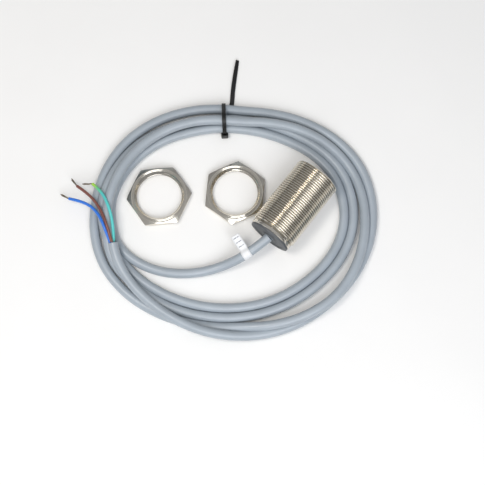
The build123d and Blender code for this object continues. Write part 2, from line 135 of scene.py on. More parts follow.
# The tie's loop round the bundle: distance from the coil's middle and height above the surface, in mm.
TIE_LOOP = [
    (56.3, 0.45), (64.4, 0.42), (71.2, 0.45), (73.4, 1.2), (74.0, 3.4), (73.3, 6.0), (69.4, 9.2),
    (65.0, 12.5), (61.9, 13.4), (58.9, 12.5), (55.8, 8.6), (54.2, 4.9), (53.9, 2.8), (54.8, 1.1),
]
TIE_HEAD_AT = 53.5  # mm from the coil's middle
TAIL_ROUTE = [
    (-0.0116, 0.0650), (-0.0030, 0.0692), (0.0067, 0.0739), (0.0153, 0.0794), (0.0241, 0.0846),
    (0.0331, 0.0896),
]


# ---- sizes and colours that a user would change ----
def size_property(name, description, default_mm):
    return FloatProperty(name=name, description=description, default=default_mm * MM, unit="LENGTH",
                         subtype="DISTANCE", precision=5)


def angle_property(name, description, default_degrees):
    return FloatProperty(name=name, description=description, default=radians(default_degrees),
                         unit="ROTATION", subtype="ANGLE")


def power_property(name, description, default_watts):
    return FloatProperty(name=name, description=description, default=default_watts, unit="POWER")


def colour_property(name, description, default_hex):
    return StringProperty(name=name, description=description, default=default_hex)


class ThreadSizes(PropertyGroup):
    pitch: size_property("Pitch", "Distance from one ridge of the thread to the next", 1.5)
    depth: size_property("Depth", "Height of a ridge on the barrel", 0.80)
    nominal_radius: size_property("Nominal radius", "Radius of the thread's full size", 15.0)
    segments: IntProperty(name="Segments", description="Steps round one turn of a thread", default=120,
                          min=24)


class HousingSizes(PropertyGroup):
    collar_length: size_property("Lip length", "Plain metal behind the thread", 2.0)
    collar_radius: size_property("Lip radius", "Radius of that plain metal", 14.1)
    relief_length: size_property("Groove length", "Groove between the thread and the lip", 1.2)
    relief_radius: size_property("Groove radius", "Radius at the bottom of that groove", 13.91)
    bore_radius: size_property("Bore radius", "Inside of the metal barrel", 13.3)


class NutSizes(PropertyGroup):
    across_flats: size_property("Across flats", "Width of a nut between its flats", 36.0)
    lead_in: size_property("Countersink", "Depth of the countersink at each end of the thread", 1.3)
    left_turn: angle_property("Left nut's turn", "Turn of the left nut about its own axis", -46.8)
    right_turn: angle_property("Right nut's turn", "Turn of the right nut about its own axis", -27.8)


class CableSizes(PropertyGroup):
    bare_length: size_property("Bare length", "Stripped copper past each conductor", 7.5)
    strand_radius: size_property("Strand", "Radius of one copper strand", 0.12)
    strands: IntProperty(name="Strands", description="Copper strands that show in a conductor", default=12,
                         min=3)


class LabelSizes(PropertyGroup):
    from_exit: size_property("Distance", "Along the cable from the rear plug to the label's middle", 17.0)
    width: size_property("Width", "Width of the paper band along the cable", 5.6)
    flag: size_property("Flag", "Length of the paper's joined ends past the cable", 10.7)


class TieSizes(PropertyGroup):
    turn: angle_property("Place", "Where the tie sits round the coil, from the row's X", 40.2)
    width: size_property("Width", "Width of the strap", 2.5)
    thickness: size_property("Thickness", "Thickness of the strap", 1.0)
    head: size_property("Head", "Side of the locking head", 4.4)


class FinishColours(PropertyGroup):
    nickel: colour_property("Nickel", "Nickel plating over brass", "#dfd9cd")
    jacket: colour_property("Cable jacket", "Grey PVC", "#a3acb4")
    rear_plug: colour_property("Rear plug", "Grey moulded polyamide", "#56595b")
    face: colour_property("Sensing face", "Moulded PBT", "#24282e")
    label: colour_property("Label", "White paper", "#f2f3f4")
    tie: colour_property("Cable tie", "Black nylon", "#060607")
    floor: colour_property("Floor", "Plain pale paper", "#f6f5f3")


class StageSizes(PropertyGroup):
    key_power: power_property("Key light", "Power of the main soft light", 2.5)
    fill_power: power_property("Fill light", "Power of the larger, lower light", 5.1)
    world: FloatProperty(name="Surroundings", description="Strength of the light from all round",
                         default=0.38)


GROUPS = {
    "sensor_thread": ThreadSizes,
    "sensor_housing": HousingSizes,
    "sensor_nuts": NutSizes,
    "sensor_cable": CableSizes,
    "sensor_label": LabelSizes,
    "sensor_tie": TieSizes,
    "sensor_finish": FinishColours,
    "sensor_stage": StageSizes,
}


# ---- materials ----
def linear(hex_colour, alpha=1.0):
    """An sRGB hex colour as linear values."""
    parts = [int(hex_colour[n:n + 2], 16) / 255 for n in (1, 3, 5)]
    return tuple(c / 12.92 if c <= 0.04045 else ((c + 0.055) / 1.055) ** 2.4 for c in parts) + (alpha,)


def per_metre(size):
    """Scale of a texture whose features are this many metres across."""
    return 1.0 / size


def new_material(name, **sockets):
    """A material with one Principled shader. Returns it with its tree and shader."""
    material = bpy.data.materials.new(name)
    material.use_nodes = True
    tree = material.node_tree
    shader = tree.nodes["Principled BSDF"]
    for socket, value in sockets.items():
        shader.inputs[socket.replace("_", " ")].default_value = value
    return material, tree, shader


def add(tree, kind, values=None, stops=None, **settings):
    """Add a node with its settings and links. A value is a number, a colour or another node's output.

    stops are a colour ramp's (place, colour) pairs."""
    node = tree.nodes.new(kind)
    for name, setting in settings.items():
        setattr(node, name, setting)
    for socket, value in (values or {}).items():
        if isinstance(value, bpy.types.NodeSocket):
            tree.links.new(value, node.inputs[socket])
        else:
            node.inputs[socket].default_value = value
    if stops:
        marks = node.color_ramp.elements
        marks[0].position, marks[0].color = stops[0]
        marks[-1].position, marks[-1].color = stops[-1]
        for place, colour in stops[1:-1]:
            marks.new(place).color = colour
    return node


def shade(hex_colour, gain):
    """The same colour, lighter or darker, as linear values."""
    red, green, blue, alpha = linear(hex_colour)
    return (min(red * gain, 1.0), min(green * gain, 1.0), min(blue * gain, 1.0), alpha)


FAINT, STRONG = 0.3, 0.7  # nearly all of a blotchy pattern's values lie between these


def blotches(tree, size, detail=3.0):
    """Uneven pattern fixed to the object, with blotches of this size in metres."""
    place = add(tree, "ShaderNodeTexCoord").outputs["Object"]
    return add(tree, "ShaderNodeTexNoise", {"Vector": place, "Scale": per_metre(size), "Detail": detail,
                                            "Roughness": 0.5}).outputs["Fac"]


def varied_colour(tree, shader, hex_colour, size, spread):
    """Base colour that drifts a little either side of one colour, in blotches of this size."""
    drift = add(tree, "ShaderNodeValToRGB", {"Fac": blotches(tree, size)},
                [(FAINT, shade(hex_colour, 1 - spread)), (STRONG, shade(hex_colour, 1 + spread))])
    tree.links.new(drift.outputs["Color"], shader.inputs["Base Color"])


def varied_gloss(tree, shader, low, high, size):
    """Roughness that drifts between two values, in blotches of this size."""
    drift = add(tree, "ShaderNodeMapRange", {"Value": blotches(tree, size), "From Min": FAINT,
                                             "From Max": STRONG, "To Min": low, "To Max": high})
    tree.links.new(drift.outputs["Result"], shader.inputs["Roughness"])


def fine_grain(tree, shader, size, depth, strength, detail=2.0):
    """Uneven surface whose grains have this size and depth, in metres."""
    relief = add(tree, "ShaderNodeBump", {"Height": blotches(tree, size, detail), "Distance": depth,
                                          "Strength": strength})
    tree.links.new(relief.outputs["Normal"], shader.inputs["Normal"])


# ---- finishes ----
def nickel_plate(hex_colour):
    """Nickel-plated brass, turned and rolled: a warm, bright metal with fine tool marks.

    Handling leaves duller, slightly darker patches, and the bottom of the thread is coloured darker and
    browner."""
    material, tree, shader = new_material("nickel_plated_brass_rolled", Metallic=1.0, Roughness=0.3)
    patch = 9 * MM
    plating = add(tree, "ShaderNodeValToRGB", {"Fac": blotches(tree, patch, 4.0)},
                  [(0.35, shade(hex_colour, 0.93)), (0.62, linear(hex_colour))])
    # The thread's hollows, found from the mesh's pointiness, are coloured darker and browner.
    hollows = add(tree, "ShaderNodeNewGeometry").outputs["Pointiness"]
    hollow_darkening = add(tree, "ShaderNodeValToRGB", {"Fac": hollows},
               [(0.40, (0.5, 0.46, 0.38, 1.0)), (0.50, (1.0, 1.0, 1.0, 1.0))])
    patches_and_darkening = add(tree, "ShaderNodeMix", {"Factor": 1.0, "A": plating.outputs["Color"],
                                       "B": hollow_darkening.outputs["Color"]}, data_type="RGBA", blend_type="MULTIPLY")
    tree.links.new(patches_and_darkening.outputs["Result"], shader.inputs["Base Color"])
    varied_gloss(tree, shader, 0.14, 0.20, patch)
    # Tool marks are 0.02 mm apart, too fine to show, so they are drawn every 0.25 mm along X, which is the
    # barrel's axis. On the nuts they run straight across.
    mark, mark_length = 0.25 * MM, 50 * MM / 3
    place = add(tree, "ShaderNodeTexCoord").outputs["Object"]
    stretched = add(tree, "ShaderNodeMapping", {
        "Vector": place, "Scale": (per_metre(mark), per_metre(mark_length), per_metre(mark_length))})
    marks = add(tree, "ShaderNodeTexNoise", {"Vector": stretched.outputs["Vector"], "Scale": 1.0})
    relief = add(tree, "ShaderNodeBump", {"Height": marks.outputs["Fac"], "Distance": 0.01 * MM,
                                          "Strength": 0.1})
    tree.links.new(relief.outputs["Normal"], shader.inputs["Normal"])
    return material


def pvc(name, hex_colour, roughness=0.42):
    """Extruded PVC: the smooth skin of the extruder's nozzle gives it a soft sheen over an uneven gloss."""
    material, tree, shader = new_material(name, Roughness=roughness, IOR=1.53, Coat_Weight=0.35,
                                          Coat_Roughness=0.24)
    varied_colour(tree, shader, hex_colour, 14 * MM, 0.05)
    varied_gloss(tree, shader, roughness - 0.07, roughness + 0.08, 2.5 * MM)
    fine_grain(tree, shader, 0.8 * MM, 0.02 * MM, 0.5)
    return material


def moulded(name, hex_colour, roughness=0.5, grit=0.35):
    """Injection-moulded plastic: even colour, dulled by the spark-eroded grain of its mould, in mm.

    Cast, dipped, laminated and fired pieces look much the same, with a grain of their own."""
    material, tree, shader = new_material(name, Roughness=roughness, IOR=1.5)
    varied_colour(tree, shader, hex_colour, 6 * MM, 0.06)
    varied_gloss(tree, shader, roughness - 0.06, roughness + 0.06, 1.5 * MM)
    fine_grain(tree, shader, grit * MM, 0.02 * MM, 0.6)
    return material


def bright_metal(name, hex_colour, roughness):
    """Drawn, stamped or plated metal: a clear shine broken by fine rubbed marks."""
    material, tree, shader = new_material(name, Metallic=1.0, Roughness=roughness)
    varied_colour(tree, shader, hex_colour, 2 * MM, 0.12)
    varied_gloss(tree, shader, roughness - 0.08, roughness + 0.1, 0.8 * MM)
    fine_grain(tree, shader, 0.3 * MM, 0.01 * MM, 0.5)
    return material


def paper(hex_colour):
    """Coated label paper: matt and slightly fibrous, with short grey printed bars that say nothing."""
    material, tree, shader = new_material("label_paper_coated", Roughness=0.62, IOR=1.45)
    fibres = add(tree, "ShaderNodeValToRGB", {"Fac": blotches(tree, 0.5 * MM, 5.0)},
                 [(0.3, shade(hex_colour, 0.95)), (0.6, linear(hex_colour))])
    # The map's X is across the band in band widths, and its Y runs out along the flag in millimetres.
    bar_pitch, bar_width, first_bar = 3.0, 0.64, 5.2
    bar_reach = 0.33  # half a bar's length
    ink_from = 0.43  # the ink breaks up where its blotches are under this
    place = add(tree, "ShaderNodeTexCoord").outputs["UV"]
    split = add(tree, "ShaderNodeSeparateXYZ", {"Vector": place})
    lines = add(tree, "ShaderNodeMath", {0: split.outputs["Y"], 1: bar_pitch / 2}, operation="PINGPONG")
    ink = add(tree, "ShaderNodeMath", {0: lines.outputs[0], 1: bar_width / 2}, operation="LESS_THAN")
    from_middle = add(tree, "ShaderNodeMath", {0: split.outputs["X"]}, operation="ABSOLUTE")
    for value, edge, test in ((split.outputs["Y"], first_bar, "GREATER_THAN"),
                              (from_middle.outputs[0], bar_reach, "LESS_THAN"),
                              (blotches(tree, 0.9 * MM), ink_from, "GREATER_THAN")):
        mask = add(tree, "ShaderNodeMath", {0: value, 1: edge}, operation=test)
        ink = add(tree, "ShaderNodeMath", {0: ink.outputs[0], 1: mask.outputs[0]}, operation="MULTIPLY")
    printed = add(tree, "ShaderNodeValToRGB", {"Fac": ink.outputs[0]},
                  [(0.0, (1.0, 1.0, 1.0, 1.0)), (1.0, (0.36, 0.37, 0.40, 1.0))])
    finished = add(tree, "ShaderNodeMix", {"Factor": 1.0, "A": fibres.outputs["Color"],
                                           "B": printed.outputs["Color"]}, data_type="RGBA",
                   blend_type="MULTIPLY")
    tree.links.new(finished.outputs["Result"], shader.inputs["Base Color"])
    fine_grain(tree, shader, 0.4 * MM, 0.01 * MM, 0.5, 4.0)
    return material


def striped_wire():
    """Earth wire's extruded PVC: its teal green stripe turns to the yellow one towards the wire's end."""
    material, tree, shader = new_material("pvc_extruded_green_yellow", Roughness=0.38, IOR=1.53)
    green_to, yellow_from = 98.5 * MM, 108.5 * MM
    place = add(tree, "ShaderNodeTexCoord").outputs["Object"]
    along = add(tree, "ShaderNodeSeparateXYZ", {"Vector": place}).outputs["Y"]
    share = add(tree, "ShaderNodeMapRange", {"Value": along, "From Min": green_to, "From Max": yellow_from})
    stripe = add(tree, "ShaderNodeValToRGB", {"Fac": share.outputs["Result"]},
                 [(0.15, linear("#5accc8")), (0.6, linear("#6fcf8f")), (0.95, linear("#a9d94e"))])
    tree.links.new(stripe.outputs["Color"], shader.inputs["Base Color"])
    fine_grain(tree, shader, 0.6 * MM, 0.02 * MM, 0.5)
    return material


def make_materials(colours):
    """One material for each slot of the record."""
    return {
        "nickel_plated_brass": nickel_plate(colours.nickel),
        "sensing_face_plastic": moulded("pbt_moulded_face", colours.face, 0.48),
        "ferrite": moulded("ferrite_sintered", "#2a2a2c", 0.6, 0.2),
        "bobbin_plastic": moulded("nylon_moulded_bobbin", "#d8d3c0", 0.5),
        "enamelled_copper": bright_metal("copper_wire_enamelled", "#b5662f", 0.3),
        "tinned_metal": bright_metal("brass_stamped_tinned", "#b9bbbd", 0.32),
        "holder_plastic": moulded("pbt_moulded_holder", "#3a3a3c", 0.5),
        "board_laminate": moulded("glass_epoxy_laminate", "#1d5a37", 0.35, 0.5),
        "package_plastic": moulded("epoxy_moulded_package", "#191919", 0.55),
        "capacitor_can": bright_metal("aluminium_drawn_can", "#a9abb0", 0.3),
        "varistor_coating": moulded("epoxy_dipped_disc", "#2a4a94", 0.3),
        "chip_ceramic": moulded("ceramic_fired_chip", "#5c564c", 0.6),
        "rear_plug_plastic": moulded("polyamide_moulded_plug", colours.rear_plug, 0.5),
        "grommet_rubber": moulded("rubber_moulded_grommet", "#161616", 0.7),
        "cable_jacket": pvc("pvc_extruded_jacket", colours.jacket),
        "insulation_green_yellow": striped_wire(),
        "insulation_brown": pvc("pvc_extruded_brown", "#7d4b40", 0.36),
        "insulation_blue": pvc("pvc_extruded_blue", "#2f77dc", 0.36),
        "epoxy_resin": moulded("epoxy_resin_cast", "#202023", 0.3),
        "tinned_copper_strands": bright_metal("copper_strand_drawn", "#a79c8c", 0.4),
        "label_paper": paper(colours.label),
        "black_nylon": moulded("nylon_moulded_black", colours.tie, 0.45, 0.5),
    }


def slot_material(name):
    """The material made for one of the record's slots."""
    return bpy.data.materials[bpy.context.scene["slot_" + name]]


# ---- mesh helpers ----
def mesh_piece(name, points, faces, slot, body=SENSOR, smooth_angle=35.0, weld=0.002 * MM):
    """A closed mesh from points and faces, welded, with its normals outward."""
    mesh = bpy.data.meshes.new(name)
    work = bmesh.new()
    made = [work.verts.new(p) for p in points]
    for face in faces:
        work.faces.new([made[n] for n in face])
    bmesh.ops.remove_doubles(work, verts=work.verts, dist=weld)
    bmesh.ops.dissolve_degenerate(work, edges=work.edges, dist=weld)
    bmesh.ops.recalc_face_normals(work, faces=work.faces)
    work.to_mesh(mesh)
    work.free()
    mesh.shade_smooth()
    mesh.set_sharp_from_angle(angle=radians(smooth_angle))
    piece = bpy.data.objects.new(name, mesh)
    bpy.context.scene.collection.objects.link(piece)
    mesh.materials.append(slot_material(slot))
    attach(piece, body)
    return piece


class Shell:
    """Points and faces gathered for one mesh."""

    def __init__(self):
        self.points = []
        self.faces = []

    def grid(self, rows, closed_rows=False, closed_columns=False):
        """Join rows of points, of one length, with quads."""
        base = len(self.points)
        columns = len(rows[0])
        for row in rows:
            self.points.extend(row)
        row_count = len(rows) if closed_rows else len(rows) - 1
        column_count = columns if closed_columns else columns - 1
        for r in range(row_count):
            for c in range(column_count):
                here, down = base + r * columns, base + (r + 1) % len(rows) * columns
                beside = (c + 1) % columns
                self.faces.append((here + c, here + beside, down + beside, down + c))

    def fan(self, ring, middle):
        """Close a ring of points onto one middle point."""
        base = len(self.points)
        self.points.extend(ring)
        self.points.append(middle)
        for n in range(len(ring)):
            self.faces.append((base + n, base + (n + 1) % len(ring), base + len(ring)))


def circle(radius, along, segments, place):
    """Ring of points; place turns (along, angle, radius) into a point."""
    return [place(along, 2 * pi * n / segments, radius) for n in range(segments)]


def on_barrel(along, angle, radius):
    return Vector((along, radius * cos(angle), radius * sin(angle)))


def thread_profile(crest_r, root_r):
    """Ridge of a rolled thread over one pitch, as (share of the pitch, radius), with rounded crests."""
    rise = crest_r - root_r
    half = [(0.0, 1.0), (0.10, 0.97), (0.18, 0.86), (0.27, 0.60), (0.40, 0.12), (0.50, 0.0)]
    shape = half + [(1.0 - share, height) for share, height in reversed(half[1:-1])]
    return [(share, root_r + height * rise) for share, height in shape]


def helix(shell, start, end, pitch, profile, limit, segments, place):
    """Thread surface from start to end along the axis. limit clips a radius at a distance along the axis."""
    turns = int(abs(end - start) / pitch) + 3
    direction = 1 if end > start else -1
    low, high = min(start, end), max(start, end)
    base = len(shell.points)
    count = len(profile)
    for step in range(turns * segments + 1):
        angle = 2 * pi * step / segments
        for share, radius in profile:
            along = start + direction * pitch * (step / segments + share - 1)
            along = min(max(along, low), high)
            shell.points.append(place(along, angle, limit(along, radius)))
    for step in range(turns * segments):
        here, after = base + step * count, base + (step + 1) * count
        for n in range(count - 1):
            shell.faces.append((here + n, after + n, after + n + 1, here + n + 1))
        if step + segments + 1 <= turns * segments:
            next_here, next_after = here + segments * count, after + segments * count
            shell.faces.append((here + count - 1, after + count - 1, next_after, next_here))


# ---- barrel and rear plug ----
class SENSOR_OT_barrel(Operator):
    """Threaded metal barrel, with its lead-in, groove and plain lip"""

    bl_idname = "sensor.barrel"
    bl_label = "Threaded barrel"

    def execute(self, context):
        thread, sizes = context.scene.sensor_thread, context.scene.sensor_housing
        root_r = BARREL_R - thread.depth
        back = -(METAL_LENGTH - sizes.collar_length - sizes.relief_length)
        groove_back = back - sizes.relief_length
        soft = 0.15 * MM  # rounding of turned edges
        chamfer, chamfer_in, chamfer_end = 0.4 * MM, 0.3 * MM, 0.45 * MM  # at the back of the lip

        def limit(along, radius):
            """The thread rises at 45 degrees at both of its ends."""
            lead = root_r + min(-along, along - back)
            return max(min(radius, lead), root_r)

        shell = Shell()
        profile = thread_profile(BARREL_R, root_r)
        helix(shell, 0.0, back, thread.pitch, profile, limit, thread.segments, on_barrel)
        outline = [
            (back, root_r),
            (back, sizes.relief_radius),
            (groove_back, sizes.relief_radius),
            (groove_back, sizes.collar_radius - soft),
            (groove_back - soft, sizes.collar_radius),
            (-METAL_LENGTH + chamfer, sizes.collar_radius),
            (-METAL_LENGTH + soft, sizes.collar_radius - chamfer_in),
            (-METAL_LENGTH, sizes.collar_radius - chamfer_end),
            (-METAL_LENGTH, sizes.bore_radius),
            (0.0, sizes.bore_radius),
            (0.0, root_r),
        ]
        rows = [circle(radius, along, thread.segments, on_barrel) for along, radius in outline]
        shell.grid(rows, closed_columns=True)
        piece = mesh_piece("barrel_with_thread", shell.points, shell.faces, "nickel_plated_brass",
                           smooth_angle=50)
        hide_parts("threaded_housing")
        return {"FINISHED"}


class SENSOR_OT_rear_plug(Operator):
    """Rear plug with a rounded rim and a raised collar round the cable"""

    bl_idname = "sensor.rear_plug"
    bl_label = "Rear plug"

    def execute(self, context):
        low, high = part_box("rear_plug")
        rim_r = high.z
        front, rear = high.x, low.x
        clearance = 0.05 * MM
        body_r = context.scene.sensor_housing.bore_radius - clearance
        cable_r = CABLE_D / 2 + clearance
        rim_round = [(0.45, 0.0), (0.16, 0.14), (0.02, 0.45), (0.0, 0.7)]  # ahead of the rear and in, mm
        rim_width, collar_width, mouth_round = 2.6 * MM, 1.5 * MM, 0.35 * MM
        dish_depth, dish_slope = 0.45 * MM, 0.4 * MM
        dish = rear + dish_depth
        segments = context.scene.sensor_thread.segments
        outline = [(front, cable_r), (front, body_r), (-METAL_LENGTH, body_r), (-METAL_LENGTH, rim_r)]
        outline += [(rear + ahead * MM, rim_r - inward * MM) for ahead, inward in rim_round]
        outline += [
            (rear, rim_r - rim_width),
            (dish, rim_r - rim_width - dish_slope),
            (dish, cable_r + collar_width + dish_slope),
            (rear, cable_r + collar_width),
            (rear, cable_r + mouth_round),
            (rear + mouth_round, cable_r),
        ]
        shell = Shell()
        rows = [circle(radius, along, segments, on_barrel) for along, radius in outline]
        shell.grid(rows, closed_rows=True, closed_columns=True)
        piece = mesh_piece("rear_plug_moulding", shell.points, shell.faces, "rear_plug_plastic")
        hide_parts("rear_plug")
        return {"FINISHED"}


# ---- nuts ----
MINOR_SHARE = 0.5413  # of the pitch: how far inside its nominal radius a metric nut's thread begins


class SENSOR_OT_nuts(Operator):
    """Two thin hexagon nuts, chamfered and threaded"""

    bl_idname = "sensor.nuts"
    bl_label = "Hexagon nuts"

    def execute(self, context):
        sizes = context.scene.sensor_nuts
        for side, turn in (("left", sizes.left_turn), ("right", sizes.right_turn)):
            self.make_nut(context, side, turn)
        return {"FINISHED"}

    def make_nut(self, context, side, turn):
        """One nut: rings from a face's middle outward, down its sides and back in, then its thread."""
        thread, sizes = context.scene.sensor_thread, context.scene.sensor_nuts
        node = "hex_nut_" + side
        low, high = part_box(node)
        middle = (low + high) / 2
        height = high.z - low.z
        flat_r = sizes.across_flats / 2
        face_r = flat_r - 0.45 * MM
        blunt = 0.12 * MM  # worn off each corner
        corner_r = flat_r / cos(radians(30)) - blunt
        minor_r = thread.nominal_radius - MINOR_SHARE * thread.pitch
        mouth_r = minor_r + sizes.lead_in
        soft = 0.2 * MM  # rounding of the countersink's mouth
        grooves = (mouth_r + 0.55 * MM, mouth_r + 1.25 * MM)
        groove_reach, groove_depth = 0.22 * MM, 0.13 * MM

        def place(along, angle, radius):
            bearing = angle + turn
            return Vector((middle.x + radius * cos(bearing), middle.y + radius * sin(bearing), low.z + along))

        def side_radius(angle):
            from_flat = (degrees(angle) % 60) - 30
            return min(flat_r / cos(radians(from_flat)), corner_r)

        def limit(along, radius):
            """A 45 degree countersink opens both ends of the thread."""
            cone = mouth_r - (min(along, height - along) - soft)
            return max(radius, cone, minor_r)

        segments = thread.segments
        angles = [2 * pi * n / segments for n in range(segments)]
        drops = [(side_radius(a) - face_r) * tan(radians(30)) for a in angles]
        rim = [place(0.0, a, face_r) for a in angles]
        lower = [place(drop, a, side_radius(a)) for a, drop in zip(angles, drops)]
        upper = [place(height - drop, a, side_radius(a)) for a, drop in zip(angles, drops)]
        top = [place(height, a, face_r) for a in angles]
        facing = [(mouth_r, soft), (mouth_r + soft, 0.0)]  # then two turned grooves, going outward
        for groove_r in grooves:
            facing += [(groove_r - groove_reach, 0.0), (groove_r, groove_depth),
                       (groove_r + groove_reach, 0.0)]
        rows = [circle(radius, depth, segments, place) for radius, depth in facing]
        rows += [rim, lower, upper, top]
        rows += [circle(radius, height - depth, segments, place) for radius, depth in reversed(facing)]
        shell = Shell()
        shell.grid(rows, closed_columns=True)
        profile = thread_profile(minor_r, thread.nominal_radius)
        helix(shell, soft, height - soft, thread.pitch, profile, limit, segments, place)
        piece = mesh_piece("nut_" + side, shell.points, shell.faces, "nickel_plated_brass",
                           body=side + "_nut", smooth_angle=24)
        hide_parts(node)


# ---- cable ----
def between(values, place):
    """Smooth curve through evenly spaced values, read at a place that may lie between two of them."""
    first = min(int(place), len(values) - 2)
    share = place - first
    before, start = values[max(first - 1, 0)], values[first]
    end, after = values[first + 1], values[min(first + 2, len(values) - 1)]
    bend = start * 2 + (end - before) * share
    bend += (before * 2 - start * 5 + end * 4 - after) * share**2
    bend += (start * 3 - before - end * 3 + after) * share**3
    return bend / 2


def coil_point(angle, distance, height):
    turned = radians(angle)
    return COIL_MIDDLE + Vector((distance * cos(turned), distance * sin(turned), FLOOR_Z + height))


def coil_route():
    """Control points of the coil's turns, two for each station, ending at the cut end."""
    stations = INNER_TURN + SECOND_TURN + THIRD_TURN + OUTER_TURN
    distances = [station[0] * MM for station in stations]
    heights = [station[1] * MM for station in stations]
    step = 360 / STATIONS / 2
    outside = 1 / cos(radians(step / 2))  # the curve runs inside its control points by this much
    route = []
    for n in range(2 * len(stations) - 1):
        distance, height = between(distances, n / 2), between(heights, n / 2)
        if n in CROSSINGS:
            distance, height = [size * MM for size in CROSSINGS[n]]
        if n % (2 * STATIONS) == TIE_POINT:
            height += TIE_LIFT * MM
        route.append(coil_point(FIRST_ANGLE - n * step, distance * outside, max(height, CABLE_D / 2)))
    angle, distance, height = CUT_END
    return route + [coil_point(angle, distance * MM, height * MM)]


def cord_curve(name, route, diameter, slot):
    """Round cord along one open NURBS spline."""
    curve = bpy.data.curves.new(name, "CURVE")
    curve.dimensions = "3D"
    curve.bevel_depth = 1.0  # times each point's radius, which Blender also counts into the curve's box
    curve.bevel_resolution = 6
    curve.resolution_u = 6
    curve.use_fill_caps = True
    spline = curve.splines.new("NURBS")
    spline.points.add(len(route) - 1)
    for point, place in zip(spline.points, route):
        point.co = (*place, 1.0)
        point.radius = diameter / 2
    spline.order_u = 3
    spline.use_endpoint_u = True
    cord = bpy.data.objects.new(name, curve)
    bpy.context.scene.collection.objects.link(cord)
    curve.materials.append(slot_material(slot))
    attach(cord, SENSOR)
    return cord


def centreline(cord):
    """Points along a cord's own line."""
    bevel = cord.data.bevel_depth
    cord.data.bevel_depth = 0.0
    bpy.context.view_layer.update()
    graph = bpy.context.evaluated_depsgraph_get()
    mesh = bpy.data.meshes.new_from_object(cord.evaluated_get(graph))
    points = [vertex.co.copy() for vertex in mesh.vertices]
    bpy.data.meshes.remove(mesh)
    cord.data.bevel_depth = bevel
    return points


def line_length(points):
    return sum((b - a).length for a, b in zip(points, points[1:]))


def at_distance(points, distance):
    """Point and direction this far along a line."""
    for a, b in zip(points, points[1:]):
        run = (b - a).length
        if distance <= run:
            return a + (b - a) * (distance / run), (b - a).normalized()
        distance -= run
    return points[-1], (points[-1] - points[-2]).normalized()


def side_frame(along, up=Vector((0, 0, 1))):
    """Two directions across a line: level, and upward."""
    level = up.cross(along).normalized()
    return level, along.cross(level).normalized()


def tube_rows(points, radius, sides):
    """Rings of points round a line."""
    rows = []
    for n, point in enumerate(points):
        ahead = (points[min(n + 1, len(points) - 1)] - points[max(n - 1, 0)]).normalized()
        level, upward = side_frame(ahead)
        rows.append([point + (level * cos(2 * pi * k / sides) + upward * sin(2 * pi * k / sides)) * radius
                     for k in range(sides)])
    return rows


class SENSOR_OT_cable(Operator):
    """The cable, from the rear plug through its coil to the stripped end"""

    bl_idname = "sensor.cable"
    bl_label = "Cable"

    def execute(self, context):
        route = [Vector(point) for point in LEAD_ROUTE]
        angle, distance, height = LEAD_END
        route.append(coil_point(angle, distance * MM, height * MM))
        cable = cord_curve("cable", route + coil_route(), CABLE_D, "cable_jacket")
        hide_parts("cable_lead", "cable_coil")
        return {"FINISHED"}


class SENSOR_OT_conductors(Operator):
    """Three insulated conductors, and the stripped copper strands at their ends"""

    bl_idname = "sensor.conductors"
    bl_label = "Conductors"

    def execute(self, context):
        for colour, route in CONDUCTOR_ROUTES.items():
            points = [Vector(point) for point in route]
            wire = cord_curve("wire_" + colour, points, CONDUCTOR_D, CONDUCTOR_SLOTS[colour])
            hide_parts("conductor_" + colour)
            line = centreline(wire)
            copper = self.make_strands(context, colour, line[-1], (line[-1] - line[-2]).normalized())
            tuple(points[0])
            line_length(line)
        return {"FINISHED"}

    def make_strands(self, context, colour, end, ahead):
        """Bunch of copper strands with a slight twist, spread a little at its tip."""
        sizes = context.scene.sensor_cable
        shell = Shell()
        bent = Matrix.Rotation(radians(BARE_TURNS[colour]), 3, "Z") @ ahead
        level, upward = side_frame(ahead)
        steps, sides = 10, 6
        golden = radians(137.5)  # turn from one strand to the next, which packs them evenly
        bunch_r, tucked_in = 0.46 * MM, 0.4 * MM
        twist, flare, bend_sharpness = 1.9, 0.55, 2.5
        for n in range(sizes.strands):
            spread = bunch_r * (n / sizes.strands) ** 0.5
            length = sizes.bare_length * (0.9 + 0.1 * cos(n * 2.1))  # cut a little unevenly
            line = []
            for step in range(steps + 1):
                share = step / steps
                heading = ahead.lerp(bent, min(1.0, bend_sharpness * share)).normalized()
                angle = n * golden + twist * share
                out = spread * (1 + flare * share**2)
                middle = end - ahead * tucked_in + heading * length * share
                line.append(middle + (level * cos(angle) + upward * sin(angle)) * out)
            rows = tube_rows(line, sizes.strand_radius, sides)
            shell.grid(rows, closed_columns=True)
            shell.fan(rows[0], line[0])
            shell.fan(rows[-1], line[-1])
        copper = mesh_piece("strands_" + colour, shell.points, shell.faces, "tinned_copper_strands",
                            smooth_angle=60, weld=0.0005 * MM)
        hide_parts("bare_end_" + colour)
        return copper


